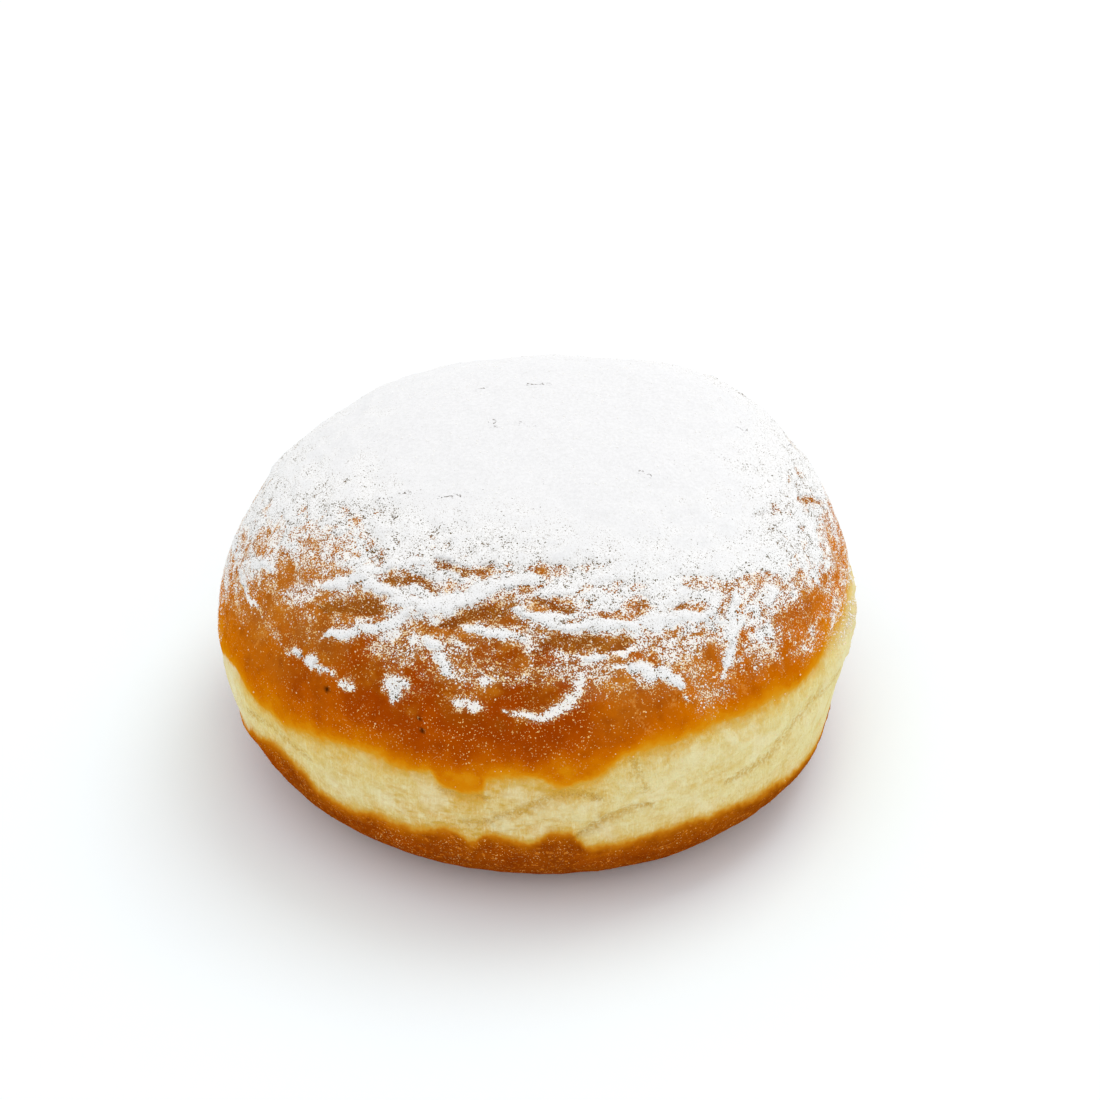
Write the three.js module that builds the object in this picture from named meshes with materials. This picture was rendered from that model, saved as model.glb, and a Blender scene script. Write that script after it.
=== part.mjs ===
// A round yeast doughnut with no hole, fried on both sides and dusted with icing sugar.
//
// The dough is one baked solid: a flat patch that it rests on, a rounded underside, a widest
// girth a third of the way up, and a broad dome. The icing sugar is a thin cap of powder that
// lies on the dome. Both are lathed from one profile and then pushed out of round together,
// so the cap follows the dome at an even distance.
//
// Units are millimetres and +Z is up. The origin is on the resting patch, under the middle of
// the doughnut, and the front is towards -Y.

import * as THREE from "three";

// Driving dimensions
const DIAMETER = 90; // across the girth, before the dough is pushed out of round
const HEIGHT = 50; // resting patch to the top of the sugar
const GIRTH_HEIGHT = 18; // resting patch to the widest level
const PATCH_RADIUS = 29; // the flat patch underneath
const DOME_FULLNESS = 2.45; // superellipse exponents: 2 is an ellipse, more is boxier
const UNDERSIDE_FULLNESS = 2.4;
const SUGAR_DEPTH = 0.9; // thickness of the powder on top of the dome
const SUGAR_EDGE_DEPTH = 0.35; // thickness where the powder thins out
const SUGAR_EDGE_ANGLE = 24; // degrees up the dome's curve where the powder ends
const CLEARANCE = 0.3; // between the dome and the powder

// Tessellation
const SEGMENTS = 64; // round the axis
const PATCH_STEPS = 3;
const UNDERSIDE_STEPS = 10;
const DOME_STEPS = 20;

// Where the hand-shaped dough is out of round. Azimuth is in degrees from the front towards
// +X, height and push are in millimetres, and spread is the half-width of the push in degrees.
const BULGES = [
  { azimuth: 134, height: 40, push: 2.6, spread: 13, reach: 12 }, // rear right shoulder
  { azimuth: 188, height: 26, push: 0.7, spread: 30, reach: 14 }, // back
  { azimuth: -88, height: 18, push: 1.2, spread: 26, reach: 12 }, // left side
  { azimuth: 92, height: 24, push: 0.9, spread: 22, reach: 10 }, // right side
  { azimuth: 48, height: 6, push: 0.7, spread: 22, reach: 9 }, // front right, low down
  { azimuth: 76, height: 13, push: -1.1, spread: 11, reach: 5 }, // tuck under the right side
  { azimuth: -52, height: 8, push: -0.6, spread: 24, reach: 10 }, // front left, low down
  { azimuth: -128, height: 36, push: -0.6, spread: 30, reach: 14 }, // rear left shoulder
];

const RADIUS = DIAMETER / 2;
const DOUGH_HEIGHT = HEIGHT - SUGAR_DEPTH - CLEARANCE;

// A point of a quarter superellipse, at an angle from its level end (0) to its upright end.
function quarterCurve(width, height, fullness, angle) {
  const power = 2 / fullness;
  return new THREE.Vector2(
    width * Math.cos(angle) ** power,
    height * Math.sin(angle) ** power,
  );
}

// The dome's profile, from an angle on its curve up to the axis.
function domeProfile(fromAngle, steps) {
  const rise = DOUGH_HEIGHT - GIRTH_HEIGHT;
  const points = [];
  for (let i = 0; i < steps; i += 1) {
    const angle = THREE.MathUtils.lerp(fromAngle, Math.PI / 2, i / steps);
    const point = quarterCurve(RADIUS, rise, DOME_FULLNESS, angle);
    points.push(point.add(new THREE.Vector2(0, GIRTH_HEIGHT)));
  }
  points.push(new THREE.Vector2(0, DOUGH_HEIGHT));
  return points;
}

// The underside's profile, from the middle of the resting patch out to just below the girth.
function undersideProfile() {
  const points = [];
  for (let i = 0; i < PATCH_STEPS; i += 1) {
    points.push(new THREE.Vector2((PATCH_RADIUS * i) / PATCH_STEPS, 0));
  }
  for (let i = 0; i < UNDERSIDE_STEPS; i += 1) {
    const angle = (Math.PI / 2) * (1 - i / UNDERSIDE_STEPS);
    const width = RADIUS - PATCH_RADIUS;
    const point = quarterCurve(width, GIRTH_HEIGHT, UNDERSIDE_FULLNESS, angle);
    points.push(new THREE.Vector2(PATCH_RADIUS + point.x, GIRTH_HEIGHT - point.y));
  }
  return points;
}

// The same profile moved out along its own normals by a distance that depends on the point.
// The last point is on the axis and stays there.
function offsetProfile(points, distanceAt) {
  return points.map((point, i) => {
    const before = points[Math.max(i - 1, 0)];
    const after = points[Math.min(i + 1, points.length - 1)];
    const along = after.clone().sub(before).normalize();
    const normal = i === points.length - 1
      ? new THREE.Vector2(0, 1)
      : new THREE.Vector2(along.y, -along.x);
    return point.clone().addScaledVector(normal, distanceAt(i / (points.length - 1)));
  });
}

// How far the dough stands out of round at an azimuth in radians and a height.
function outOfRound(azimuth, height) {
  let push = 0;
  for (const bulge of BULGES) {
    const turn = azimuth - THREE.MathUtils.degToRad(bulge.azimuth);
    const spread = THREE.MathUtils.degToRad(bulge.spread);
    const level = (height - bulge.height) / bulge.reach;
    push += bulge.push * Math.exp((Math.cos(turn) - 1) / spread ** 2 - level ** 2);
  }
  return push;
}

// Lathes a profile about the upright axis and pushes the result out of round.
function latheDough(profile) {
  const geometry = new THREE.LatheGeometry(profile, SEGMENTS);
  geometry.rotateX(Math.PI / 2);
  const position = geometry.getAttribute("position");
  const point = new THREE.Vector3();
  for (let i = 0; i < position.count; i += 1) {
    point.fromBufferAttribute(position, i);
    const radius = Math.hypot(point.x, point.y);
    const azimuth = Math.atan2(point.x, -point.y);
    const fade = THREE.MathUtils.smoothstep(radius, 0, RADIUS * 0.8);
    const scale = radius > 0 ? 1 + (fade * outOfRound(azimuth, point.z)) / radius : 1;
    position.setXYZ(i, point.x * scale, point.y * scale, point.z);
  }
  geometry.computeVertexNormals();
  return geometry;
}

// The baked dough: resting patch, underside, girth and dome as one closed solid.
function makeDough() {
  const profile = [...undersideProfile(), ...domeProfile(0, DOME_STEPS)];
  const crust = new THREE.MeshStandardMaterial({ color: 0xc8701c, roughness: 0.45, metalness: 0 });
  const mesh = new THREE.Mesh(latheDough(profile), crust);
  mesh.name = "dough";
  return mesh;
}

// The icing sugar: a cap that lies on the dome, thickest on top and thin at its edge.
function makeSugarDusting() {
  const edgeAngle = THREE.MathUtils.degToRad(SUGAR_EDGE_ANGLE);
  const dome = domeProfile(edgeAngle, DOME_STEPS / 2 + 2);
  const inner = offsetProfile(dome, () => CLEARANCE);
  const outer = offsetProfile(dome, (share) => {
    const fade = THREE.MathUtils.smoothstep(share, 0, 0.5);
    return CLEARANCE + THREE.MathUtils.lerp(SUGAR_EDGE_DEPTH, SUGAR_DEPTH, fade);
  });
  const powder = new THREE.MeshStandardMaterial({ color: 0xf7f6f3, roughness: 0.95, metalness: 0 });
  const mesh = new THREE.Mesh(latheDough([...inner.reverse(), ...outer]), powder);
  mesh.name = "sugar_dusting";
  return mesh;
}

// The out-of-round dough is centred over the origin again.
const doughnut = new THREE.Group();
doughnut.name = "doughnut";
doughnut.add(makeDough(), makeSugarDusting());
const middle = new THREE.Box3().setFromObject(doughnut).getCenter(new THREE.Vector3());
doughnut.position.set(-middle.x, -middle.y, 0);

export default doughnut;
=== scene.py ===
"""A round yeast doughnut with no hole, fried on both sides and dusted with icing sugar.

The dough is one baked piece with a brown crust above and below and a pale ring round its side.
The icing sugar lies on it as a thick coat on the crown, drifts on the wrinkles of the crust and
single grains between them. Lengths are in millimetres until a mesh is written, which is in metres.
Azimuth is in degrees round from the front, towards the right. Slope is in degrees down from the
crown, seen from the middle of the doughnut at the height of its girth.
"""

import math

import bpy
import numpy as np
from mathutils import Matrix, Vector, kdtree, noise


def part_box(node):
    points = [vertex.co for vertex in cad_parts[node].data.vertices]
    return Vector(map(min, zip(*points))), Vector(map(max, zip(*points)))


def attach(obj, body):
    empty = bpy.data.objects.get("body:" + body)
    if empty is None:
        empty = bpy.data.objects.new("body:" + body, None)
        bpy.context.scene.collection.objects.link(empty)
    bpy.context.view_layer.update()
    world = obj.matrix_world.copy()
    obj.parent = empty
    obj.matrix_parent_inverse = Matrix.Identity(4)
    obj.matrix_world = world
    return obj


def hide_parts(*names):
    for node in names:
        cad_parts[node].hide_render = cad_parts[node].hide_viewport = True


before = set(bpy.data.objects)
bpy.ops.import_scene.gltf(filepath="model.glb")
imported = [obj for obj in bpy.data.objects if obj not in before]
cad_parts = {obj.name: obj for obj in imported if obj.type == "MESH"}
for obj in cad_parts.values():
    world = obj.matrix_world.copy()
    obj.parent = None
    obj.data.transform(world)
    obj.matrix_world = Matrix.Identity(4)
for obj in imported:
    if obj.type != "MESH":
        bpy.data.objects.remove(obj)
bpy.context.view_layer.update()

MM = 0.001

# The dough, measured off its solid in model.glb
DOUGH_LOW, DOUGH_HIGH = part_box("dough")
DOUGH_HEIGHT = (DOUGH_HIGH.z - DOUGH_LOW.z) / MM
GIRTH_HEIGHT = 0.37 * DOUGH_HEIGHT
BALL_CUTS = 31
WELD = 0.02

# Radii that turn an angle round the girth, round the upper side or down the side into a length
GIRTH_RADIUS = 45
WRAP_RADIUS = 38
DOWN_RADIUS = 40

# The pale ring: (azimuth, height) of the edges of the crust above it and the crust below it
RING_TOP = [
    (-110, 20.6), (-92, 20.4), (-79, 19.4), (-68, 21.4), (-60, 21.2), (-50, 21.4), (-41, 22.8),
    (-32, 24.0), (-24, 23.6), (-18.5, 23.7), (-15.5, 21.7), (-12, 21.0), (-9.2, 21.4), (-7.8, 24.0),
    (-2, 24.8), (5, 22.6), (9, 23.4), (15.5, 26.3), (22, 26.8), (34, 27.3), (46, 27.0), (56, 26.0),
    (72, 27.6), (88, 28.2), (106, 25.0), (128, 22.5), (150, 25.0), (180, 22.0), (215, 24.5),
]
RING_BOTTOM = [
    (-110, 10.5), (-80, 8.8), (-69, 10.4), (-61, 13.8), (-52, 15.8), (-46, 14.8), (-42, 12.4),
    (-36, 12.0), (-29, 13.2), (-22, 12.7), (-14, 14.5), (-11, 12.3), (-8, 14.3), (-1, 13.1),
    (3, 15.0), (6, 14.9), (9.6, 11.4), (15, 12.0), (26, 12.7), (38, 12.0), (46, 11.5), (54, 10.6),
    (62, 9.4), (72, 7.8), (92, 8.4), (125, 12.6), (155, 11.5), (185, 13.2), (222, 11.8),
]
RING_INSET = 0.2

# Creases and ridges in the pale ring: depth, half width and (azimuth, height) places
RING_FOLDS = [
    (0.35, 0.7, [(-16, 21.0), (-12, 20.6), (-8.6, 20.9)]),
    (0.6, 0.8, [(-6, 17.6), (-3, 18.4), (0, 19.8), (4, 21.2), (8, 21.3), (11, 20.2)]),
    (-0.6, 1.1, [(-6, 15.4), (-3, 16.8), (0, 18.0), (4, 19.0), (8, 18.0), (11, 16.8)]),
    (0.8, 0.8, [(7.5, 14.0), (9.5, 14.9), (12, 16.2), (16, 17.3), (20, 17.8)]),
    (0.55, 0.8, [(-12, 15.9), (-10, 15.9), (-8, 16.6)]),
    (-0.35, 0.6, [(-7.6, 14.6), (-7.2, 16.4), (-7.4, 18.2)]),
    (-0.35, 0.6, [(-8.2, 23.4), (-8.0, 21.6), (-8.4, 20.2)]),
    (-0.5, 2.2, [(16, 21.5), (24, 23.0), (32, 23.6), (40, 22.6)]),
    (0.3, 1.0, [(17, 25.4), (18, 23.6), (19, 21.0)]),
    (0.45, 1.5, [(36, 17.2), (44, 17.4), (50, 19.2), (57, 20.6), (66, 20.0), (78, 18.0)]),
    (0.3, 1.3, [(-62, 16.8), (-54, 18.2), (-44, 17.8)]),
    (0.35, 1.4, [(104, 17.0), (118, 18.2), (134, 17.6)]),
    (0.35, 1.4, [(168, 17.0), (184, 18.4), (206, 18.0), (228, 18.8)]),
    (-0.6, 3.5, [(64, 21.0), (76, 21.6), (88, 22.0), (100, 21.4)]),
]

# Fine upright seams in the upper crust: (azimuth, height) places
SEAMS = [
    [(17.6, 37.0), (18.2, 34.0), (18.6, 31.6), (20.2, 29.4)], [(25.4, 34.6), (26.2, 33.2), (25.8, 32.2)],
    [(37.4, 33.4), (39.0, 31.4), (40.4, 30.0)], [(-61.0, 33.0), (-60.2, 30.6), (-61.4, 28.8)],
    [(118, 33.0), (119.6, 30.6), (119.0, 28.4)], [(-142, 33.5), (-141, 31.0), (-142.4, 29.0)],
]
CREASE_REACH = 1.5

# How far the crust swells at the shoulder behind the right side
SHOULDER = 0.9

# Small scorched crumbs on the crust: (azimuth, height) and radius
SCORCHED = [((-40, 30.1), 0.55), ((-20.5, 30.7), 0.4), ((-20, 29.2), 0.35), ((150, 31.0), 0.5)]

# Where the sugar stops hiding the crust, and where it ends: (azimuth, slope)
SOLID_EDGE = [
    (-140, 66), (-100, 70), (-88, 67), (-76, 57), (-64, 51), (-50, 48), (-35, 46), (-20, 45),
    (-5, 43), (8, 46), (20, 50), (32, 55), (45, 60), (60, 63), (74, 63), (88, 62), (112, 66),
    (145, 61), (180, 63),
]
BARE_EDGE = [
    (-140, 82), (-92, 94), (-80, 88), (-70, 78), (-60, 71), (-48, 69), (-35, 70), (-20, 70), (0, 69),
    (15, 69), (28, 72), (42, 75), (60, 78), (75, 87), (88, 93), (104, 88), (130, 80), (180, 80),
]

# Wrinkles that hold a drift of sugar: strength, half width, rise and places (x, y) from above
DRIFTS = [
    (1.0, 1.15, 0.5, [(-29.5, -21.5), (-28.3, -22.3), (-25.5, -23.3), (-22.7, -24.8), (-20.3, -26.7),
        (-17.6, -28.8), (-15.4, -30.3)]),
    (1.0, 0.9, 0.5, [(-28.8, -28.6), (-26.3, -29.3), (-23.9, -30.1), (-22.1, -31.1), (-20.2, -31.3),
        (-18.5, -30.9), (-16.2, -30.4)]),
    (1.0, 1.35, 0.6, [(-17.0, -30.5), (-13.2, -30.5), (-10.5, -30.3), (-7.9, -29.6), (-5.2, -28.9),
        (-2.6, -28.8), (1.0, -28.2)]),
    (0.95, 1.05, 0.45, [(-24.7, -22.8), (-21.0, -23.3), (-18.3, -23.8), (-15.0, -24.3), (-13.0, -25.7)]),
    (1.0, 1.15, 0.55, [(-3.2, -31.6), (-0.2, -33.4), (3.0, -33.9), (5.6, -34.2), (9.0, -33.4),
        (12.2, -33.3), (15.7, -32.1), (17.9, -30.8), (21.0, -29.9), (24.5, -27.5)]),
    (0.95, 0.9, 0.4, [(6.0, -37.5), (8.6, -36.6), (11.2, -35.9), (12.8, -35.6)]),
    (1.0, 0.85, 0.4, [(11.0, -37.9), (13.5, -37.4), (15.6, -37.5), (17.5, -36.4), (18.8, -37.0),
        (20.2, -37.3)]),
    (0.9, 0.85, 0.35, [(24.0, -29.0), (26.1, -29.7), (25.6, -32.2), (25.1, -33.6)]),
    (0.85, 0.9, 0.35, [(-9.8, -33.3), (-8.2, -34.0), (-5.2, -34.7), (-2.5, -35.2), (-1.4, -35.0)]),
    (0.9, 1.1, 0.35, [(-14.3, -33.7), (-13.5, -34.9), (-11.8, -36.9), (-10.4, -38.5)]),
    (0.95, 0.8, 0.35, [(-11.1, -39.9), (-8.2, -40.6), (-6.7, -40.9)]),
    (0.75, 1.0, 0.3, [(-20.6, -35.6), (-18.4, -37.1), (-18.8, -38.2)]),
    (0.65, 0.7, 0.25, [(-18.4, -37.1), (-16.5, -37.9)]),
    (0.65, 0.6, 0.2, [(-7.3, -38.8), (-5.4, -39.5)]),
    (0.85, 0.62, 0.3, [(-4.2, -41.5), (-1.9, -42.0), (0.7, -42.1), (3.4, -41.6), (4.7, -41.0),
        (5.9, -39.6), (6.4, -38.0)]),
    (0.95, 1.1, 0.4, [(-39.2, -10.2), (-36.8, -13.9), (-35.4, -15.8)]),
    (0.5, 1.7, 0.2, [(-34.0, -20.0), (-31.5, -21.6), (-29.2, -23.3)]),
    (1.0, 0.75, 0.35, [(-42.7, 1.5), (-42.6, -1.2), (-42.2, -4.4), (-41.8, -6.9)]),
    (0.95, 0.46, 0.25, [(-41.8, -6.9), (-41.3, -9.2), (-40.4, -12.0), (-39.4, -14.8), (-38.4, -17.2),
        (-37.4, -19.2), (-36.5, -21.1)]),
    (1.0, 0.66, 0.35, [(-40.9, -10.6), (-40.5, -11.9)]),
    (1.0, 0.72, 0.4, [(-36.7, -20.6), (-35.6, -22.8), (-34.4, -24.8)]),
    (0.9, 0.46, 0.25, [(-34.0, -25.3), (-32.8, -26.8), (-31.4, -28.4)]),
    (1.0, 0.78, 0.4, [(-31.3, -28.6), (-30.4, -29.5), (-29.5, -30.4)]),
    (0.85, 0.44, 0.2, [(-29.5, -30.4), (-28.3, -31.6), (-27.1, -32.6)]),
    (1.0, 0.6, 0.3, [(-27.5, -32.2), (-26.6, -33.0)]),
    (1.0, 0.66, 0.3, [(-25.9, -33.5), (-24.8, -34.2), (-23.6, -34.9)]),
    (0.9, 1.1, 0.3, [(26.5, -24.5), (26.9, -27.5), (26.0, -30.0)]),
    (0.36, 2.0, 0.05, [(-21.5, -32.8), (-18.5, -34.2), (-16.0, -35.6)]),
    (0.46, 1.6, 0.05, [(-12.0, -36.5), (-9.5, -38.2), (-7.0, -38.6)]),
    (0.42, 1.8, 0.05, [(2.0, -38.4), (6.5, -38.6), (10.5, -38.0)]),
    (0.5, 2.2, 0.05, [(15.5, -34.5), (19.0, -33.6), (22.5, -31.8)]),
    (0.36, 1.9, 0.05, [(20.2, -35.0), (22.9, -35.6), (25.9, -34.2)]),
    (0.4, 2.0, 0.05, [(28.4, -30.2), (31.0, -28.3), (33.4, -25.9)]),
    (0.9, 1.12, 0.45, [(36, 17), (33, 22.5), (28, 28.5), (21, 33.5)]),
    (0.9, 0.98, 0.4, [(41, 7), (40, 13), (37.5, 19)]),
    (0.9, 1.2, 0.5, [(9, 37), (0, 39), (-9, 38), (-17, 34.5)]),
    (0.85, 0.9, 0.4, [(22, 36.5), (13, 40), (3, 41.6)]),
    (0.9, 1.05, 0.5, [(-22, 33), (-29, 28), (-34.5, 20.5), (-38, 12)]),
    (0.8, 0.75, 0.35, [(-26, 33), (-32.5, 27), (-37.5, 19)]),
]

# Hollows of the wrinkles that the sugar left brown, the narrower ones also darkened with painted shade:
# strength, half width, depth and places
HOLLOWS = [
    (0.94, 1.35, 0.35, [(-28.2, -25.4), (-25.0, -26.4), (-22.2, -27.6), (-20.0, -29.0)]),
    (0.92, 1.15, 0.35, [(-12.4, -32.6), (-8.8, -32.1), (-5.6, -31.9), (-2.6, -31.2)]),
    (0.94, 1.15, 0.35, [(-0.4, -36.6), (4.7, -35.7), (8.2, -35.5), (12.6, -34.8)]),
    (0.7, 0.8, 0.2, [(-12.8, -24.0), (-9.6, -26.1), (-7.9, -27.3)]),
    (0.6, 0.6, 0.15, [(-7.9, -27.3), (-5.7, -25.0)]),
    (0.75, 0.7, 0.2, [(-20.4, -25.3), (-17.7, -25.9), (-15.0, -26.6), (-12.6, -28.6)]),
    (0.8, 0.75, 0.2, [(-1.2, -31.0), (3.0, -31.4), (5.2, -32.2)]),
    (0.82, 0.75, 0.2, [(8.6, -32.4), (11.6, -31.3)]), (0.75, 0.65, 0.15, [(14.5, -29.4), (14.2, -31.6)]),
    (0.65, 0.55, 0.15, [(18.4, -29.4), (21.4, -27.9)]),
    (0.5, 1.5, 0.1, [(20.0, -25.8), (22.6, -24.7), (25.0, -24.4)]),
    (0.5, 1.6, 0.1, [(27.6, -22.9), (31.5, -20.0), (34.6, -18.8)]),
    (0.7, 0.95, 0.15, [(36.4, -2.6), (38.2, -0.6), (40.4, 2.9)]),
    (0.4, 0.8, 0.1, [(30.4, -10.2), (33.8, -6.6)]),
    (0.8, 2.9, 0.3, [(-38.5, -18), (-35.5, -22.6), (-31.5, -26.5)]),
    (0.85, 2.3, 0.15, [(33.6, -24.2), (37.2, -19.3), (40.9, -13.6)]),
]

# Short fine cracks in the thick sugar: places (x, y) from above
CRACKS = [
    [(-2.4, 2.3), (-1.4, 2.0), (-0.4, 1.5)], [(-5.7, 3.0), (-5.6, 2.2), (-5.5, 1.6)],
    [(-1.0, 13.2), (0.6, 13.0), (1.6, 13.3)], [(-8.0, 13.2), (-7.2, 13.4)],
    [(28.6, 8), (29.4, 8.2)], [(-21.6, -11.6), (-19.4, -12.0), (-17.4, -11.9)],
    [(-12.6, -13.2), (-11.0, -13.4), (-9.6, -13.2)], [(36.2, 12.4), (36.8, 13.4), (37.0, 14.8)],
    [(-32.8, -8.4), (-31.2, -9.2)], [(-29.4, -11.2), (-28.2, -11.6)],
    [(-27.4, -14.6), (-26.0, -15.0)], [(-24.2, -18.2), (-23.0, -18.6)],
    [(-20.2, -15.0), (-19.2, -15.3)], [(14.6, -8.2), (15.4, -8.6)],
]
CRACK_REACH = 1.0

# How much sugar lies where: 0 at the solid edge and 1 at the bare edge, 1 or more hides the crust
POWDER_FALL = [
    (-1.5, 1.38), (-0.8, 1.31), (-0.35, 1.07), (-0.1, 0.9), (0.0, 0.8), (0.2, 0.62), (0.45, 0.42),
    (0.7, 0.25), (0.9, 0.12), (1.05, 0.03), (1.15, 0.0), (2.0, 0.0),
]

# Where the thick sugar is peppered with small gaps: (azimuth, share)
PEPPERED = [
    (-170, 0.3), (-110, 0.8), (-60, 1.0), (-35, 0.3), (-5, 0.1), (20, 0.4), (40, 0.7), (75, 0.7),
    (100, 0.4), (140, 0.2),
]

# How darkly the upper crust is fried, and how much the ring is toasted: (azimuth, share)
BROWNED = [
    (-120, 0.3), (-90, 0.0), (-76, 0.1), (-60, 0.3), (-44, 0.7), (-30, 1.12), (-14, 1.05), (-4, 1.2),
    (4, 1.15), (16, 0.55), (30, 0.35), (48, 0.5), (62, 0.5), (78, 0.2), (100, 0.4), (140, 0.9),
    (175, 0.4), (210, 0.8),
]
TOASTED = [
    (-110, -0.3), (-88, -0.8), (-72, -0.4), (-55, 0.1), (-30, 0.45), (-16, 0.95), (-2, 1.0), (8, 0.6),
    (25, 0.35), (50, 0.1), (80, 0.0), (120, 0.5), (160, 0.2), (200, 0.6),
]

# How darkly the lower crust is fried: (azimuth, share)
BROWNED_BELOW = [
    (-110, 0.2), (-60, 0.05), (-46, 0.5), (-32, 0.15), (-8, 0.3), (12, 0.4), (30, 0.6), (45, 1.0),
    (62, 1.1), (90, 0.8), (130, 0.3), (165, 0.6), (210, 0.2),
]

# Drifts: how much of a rise the crust takes, and the spread of the thick core and the thin skirt
RIDGE_SHARE = 0.5
CORE_SPREAD = 1.35
SKIRT_SPREAD = 2.4
HOLLOW_DUST = 0.12
# Hollows narrower than this are darkened with painted shade
WIDEST_SHADED = 1.5
MOST_POWDER = 1.4

# The coat: its depth, the extra on the crown, its wall, and the powder where it shows and is full
SUGAR_DEPTH = 0.3
CROWN_SUGAR_DEPTH = 0.65
SUGAR_WALL = 0.35
SUGAR_SHOWS = 0.6
SUGAR_FULL = 1.3
SUGAR_DIP = 0.1
SMALLEST_CLUMP = 14

GRAIN_RADIUS = 0.085
GRAIN_PIECES = 4
SMALLEST_GRAIN = 0.55
LARGEST_GRAIN = 1.9


# ---- shared helpers

def deselect():
    bpy.ops.object.select_all(action="DESELECT")


def only(piece):
    """Makes this the one selected, active object."""
    deselect()
    piece.select_set(True)
    bpy.context.view_layer.objects.active = piece


def copy_of(piece):
    only(piece)
    bpy.ops.object.duplicate()
    return bpy.context.object


def edit_all():
    """Opens the active object's mesh for editing, with all of it selected."""
    bpy.ops.object.mode_set(mode="EDIT")
    bpy.ops.mesh.select_all(action="SELECT")


def end_edit():
    bpy.ops.object.mode_set(mode="OBJECT")


def delete_points(piece, chosen):
    """Deletes the chosen points of the active object. Its mesh is open for editing afterwards."""
    bpy.ops.object.mode_set(mode="EDIT")
    bpy.ops.mesh.select_mode(type="VERT")
    bpy.ops.mesh.select_all(action="DESELECT")
    end_edit()
    piece.data.vertices.foreach_set("select", chosen)
    bpy.ops.object.mode_set(mode="EDIT")
    bpy.ops.mesh.delete(type="VERT")


def apply_modifier(piece, kind, **settings):
    only(piece)
    modifier = piece.modifiers.new(kind.title(), kind)
    for name, value in settings.items():
        setattr(modifier, name, value)
    bpy.ops.object.modifier_apply(modifier=modifier.name)


def read_points(piece, what):
    flat = np.zeros(len(piece.data.vertices) * 3)
    piece.data.vertices.foreach_get(what, flat)
    return flat.reshape(-1, 3)


def places_of(piece):
    """Every point of a piece, in millimetres."""
    return read_points(piece, "co") / MM


def put_places(piece, places):
    piece.data.vertices.foreach_set("co", (places * MM).ravel())
    piece.data.update()


def normals_of(piece):
    return read_points(piece, "normal")


def mark_points(piece, **marks):
    """Writes each mark's values as an attribute of the piece's points."""
    for name, values in marks.items():
        attribute = piece.data.attributes.new(name, "FLOAT", "POINT")
        attribute.data.foreach_set("value", np.asarray(values, np.float32))


def write_vectors(piece, name, vectors):
    attribute = piece.data.attributes.new(name, "FLOAT_VECTOR", "POINT")
    attribute.data.foreach_set("vector", np.asarray(vectors, np.float32).ravel())


def read_attribute(piece, name):
    values = np.zeros(len(piece.data.vertices), np.float32)
    piece.data.attributes[name].data.foreach_get("value", values)
    return values


def azimuth_of(places):
    return np.degrees(np.arctan2(places[:, 0], -places[:, 1]))


def slope_of(places):
    radius = np.hypot(places[:, 0], places[:, 1])
    return np.degrees(np.arctan2(radius, places[:, 2] - GIRTH_HEIGHT))


def ease(start, end, value):
    """0 before start, 1 after end, and smooth between them."""
    share = np.clip((value - start) / (end - start), 0, 1)
    return share * share * (3 - 2 * share)


def round_the_side(stations, azimuth):
    """The value at each azimuth on a closed line through (azimuth, value) stations, rounded at them."""
    stations = sorted(((a + 180) % 360 - 180, value) for a, value in stations)
    at = np.array([a for a, _ in stations])
    values = np.array([value for _, value in stations])
    at = np.concatenate([at - 360, at, at + 360])
    values = np.tile(values, 3)
    before = np.clip(np.searchsorted(at, azimuth, "right") - 1, 0, len(at) - 2)
    share = ease(at[before], at[before + 1], azimuth)
    return values[before] * (1 - share) + values[before + 1] * share


def wrapped_places(places):
    """Places as a ring round the doughnut and a length down its side."""
    azimuth = np.radians(azimuth_of(places))
    down = np.radians(slope_of(places)) * DOWN_RADIUS
    return np.stack([np.sin(azimuth) * WRAP_RADIUS, np.cos(azimuth) * WRAP_RADIUS, down], axis=1)


def lumps_at(scaled, octaves):
    return np.array([noise.fractal(Vector(p), 1.0, 2.0, octaves) for p in scaled])


def roughness_field(places, size, octaves=3, shift=0.0, stretch=(1, 1, 1)):
    """Smooth noise of about -1 to 1 with lumps of that size in millimetres, times stretch."""
    return lumps_at(places / (size * np.array(stretch)) + shift, octaves)


def ringwise_field(places, length, width, octaves=3, shift=0.0):
    """Noise whose lumps are long round the doughnut and narrow down its side."""
    return lumps_at(wrapped_places(places) / (length, length, width) + shift, octaves)


def stepped(points, step=0.35):
    """A smooth line through given points, as many places a step apart."""
    points = [np.array(p, float) for p in points]
    ends = [2 * points[0] - points[1], *points, 2 * points[-1] - points[-2]]
    line = []
    for a, b, c, d in zip(ends, ends[1:], ends[2:], ends[3:]):
        count = max(2, int(np.linalg.norm(c - b) / step))
        for t in np.linspace(0, 1, count, endpoint=False):
            line.append(
                0.5 * (2 * b + (c - a) * t + (2 * a - 5 * b + 4 * c - d) * t * t
                       + (3 * b - a - 3 * c + d) * t ** 3)
            )
    return [*line, points[-1]]


def boxed_round(places, line, reach):
    """The numbers of the places in a box that stands twice that reach off a line."""
    low, high = np.min(line, axis=0) - 2 * reach, np.max(line, axis=0) + 2 * reach
    return np.nonzero(((places > low) & (places < high)).all(axis=1))[0]


def nearness(places, line, width):
    """1 on a line, easing to 0 at width from it. The line thins towards its ends."""
    tree = kdtree.KDTree(len(line))
    for index, point in enumerate(line):
        tree.insert(Vector(point), index)
    tree.balance()
    near = np.zeros(len(places))
    for i in boxed_round(places, line, width):
        _, index, distance = tree.find(Vector(places[i]))
        along = index / max(1, len(line) - 1)
        thinning = min(1.0, 0.4 + 3 * min(along, 1 - along))
        near[i] = 1 - ease(0.25, 1.0, distance / (width * thinning))
    return near


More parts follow.
